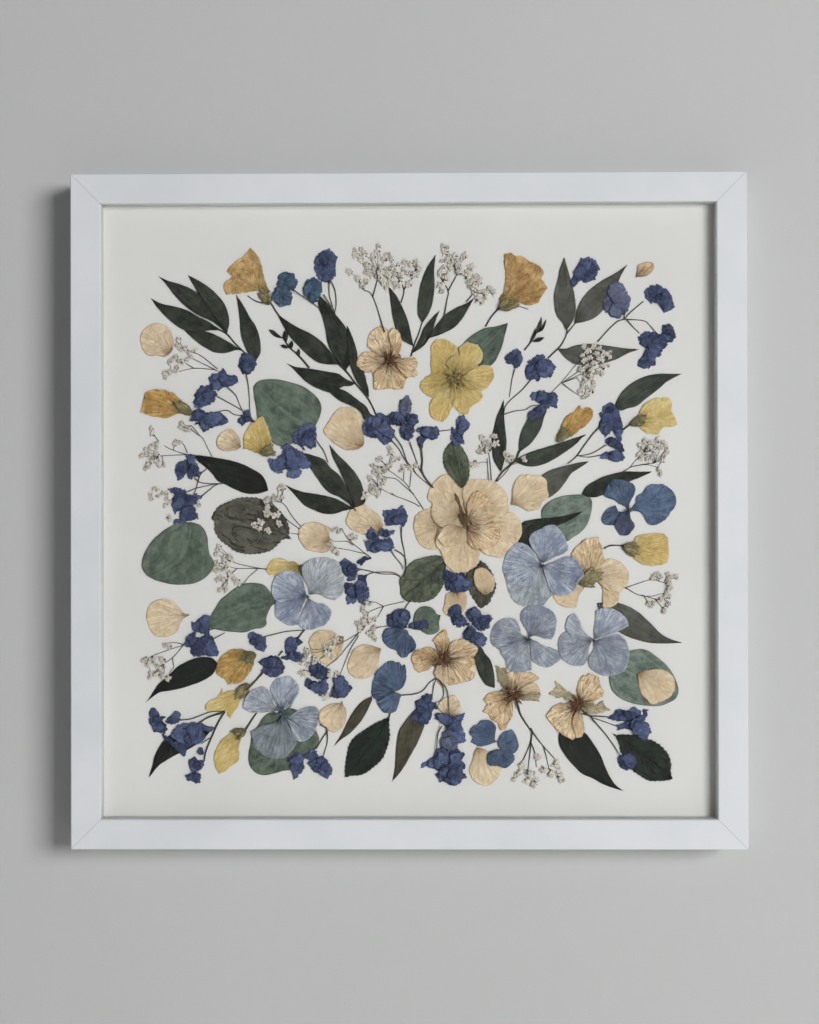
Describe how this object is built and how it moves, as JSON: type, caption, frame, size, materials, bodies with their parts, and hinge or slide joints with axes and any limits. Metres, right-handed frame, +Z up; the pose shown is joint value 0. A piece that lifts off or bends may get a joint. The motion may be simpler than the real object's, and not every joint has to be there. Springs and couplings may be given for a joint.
{
  "type": "pressed flower frame",
  "caption": "Square white frame holding pressed flowers, leaves and florets on a pale card behind glass, hung from a sawtooth hanger.",
  "frame": {"origin": "middle of the whole frame, halfway through its depth", "axes": "+X to the viewer's right, +Z up, -Y out of the front of the glass towards the viewer"},
  "size_m": [0.484, 0.032, 0.484],
  "materials": {
    "white_painted_wood": "white paint, satin, over wood",
    "glazing": "clear, polished",
    "spacer_foam": "matt foam",
    "mount_card": "off-white, matt",
    "backing_board": "bare fibreboard",
    "backing_tape": "gummed kraft paper",
    "hanger_steel": "plain steel",
    "bumper_felt": "grey felt",
    "eucalyptus": "dried leaf, matt",
    "broad_leaf": "dried leaf, matt",
    "rose_leaf": "dried leaf, matt",
    "ruscus": "dried leaf, matt",
    "peach_petal": "dried petal, matt",
    "yellow_petal": "dried petal, matt",
    "cream_petal": "dried petal, matt",
    "hydrangea_petal": "dried petal, matt"
  },
  "bodies": {
    "root": {"rail_top": "white_painted_wood", "rail_right": "white_painted_wood", "rail_bottom": "white_painted_wood", "rail_left": "white_painted_wood", "glazing": "glazing", "spacer": "spacer_foam", "mount_card": "mount_card", "backing_board": "backing_board", "backing_tape": "backing_tape", "sawtooth_hanger": "hanger_steel", "bumper_left": "bumper_felt", "bumper_right": "bumper_felt", "eucalyptus_leaf_1": "eucalyptus", "eucalyptus_leaf_2": "eucalyptus", "eucalyptus_leaf_3": "eucalyptus", "eucalyptus_leaf_4": "eucalyptus", "eucalyptus_leaf_5": "eucalyptus", "eucalyptus_leaf_6": "eucalyptus", "broad_leaf": "broad_leaf", "rose_leaf_1": "rose_leaf", "rose_leaf_2": "rose_leaf", "rose_leaf_3": "rose_leaf", "rose_leaf_4": "rose_leaf", "ruscus_sprig_1": "ruscus", "ruscus_sprig_2": "ruscus", "ruscus_sprig_3": "ruscus", "ruscus_sprig_4": "ruscus", "ruscus_sprig_5": "ruscus", "ruscus_sprig_6": "ruscus", "ruscus_leaf_1": "ruscus", "ruscus_leaf_2": "ruscus", "ruscus_leaf_3": "ruscus", "ruscus_leaf_4": "ruscus", "ruscus_leaf_5": "ruscus", "ruscus_leaf_6": "ruscus", "ruscus_leaf_7": "ruscus", "ruscus_leaf_8": "ruscus", "ruscus_leaf_9": "ruscus", "ruscus_leaf_10": "ruscus", "peach_bud_1": "peach_petal", "peach_bud_2": "peach_petal", "yellow_flower": "yellow_petal", "peach_flower_1": "peach_petal", "peach_flower_2": "peach_petal", "peach_flower_3": "peach_petal", "peach_flower_4": "peach_petal", "yellow_bud_1": "yellow_petal", "yellow_bud_2": "yellow_petal", "yellow_bud_3": "yellow_petal", "yellow_bud_4": "yellow_petal", "yellow_bud_5": "yellow_petal", "yellow_bud_6": "yellow_petal", "yellow_lily": "yellow_petal", "cream_rose": "cream_petal", "hydrangea_1": "hydrangea_petal", "hydrangea_2": "hydrangea_petal", "hydrangea_3": "hydrangea_petal", "hydrangea_4": "hydrangea_petal", "hydrangea_5": "hydrangea_petal", "hydrangea_6": "hydrangea_petal"}
  },
  "joints": []
}
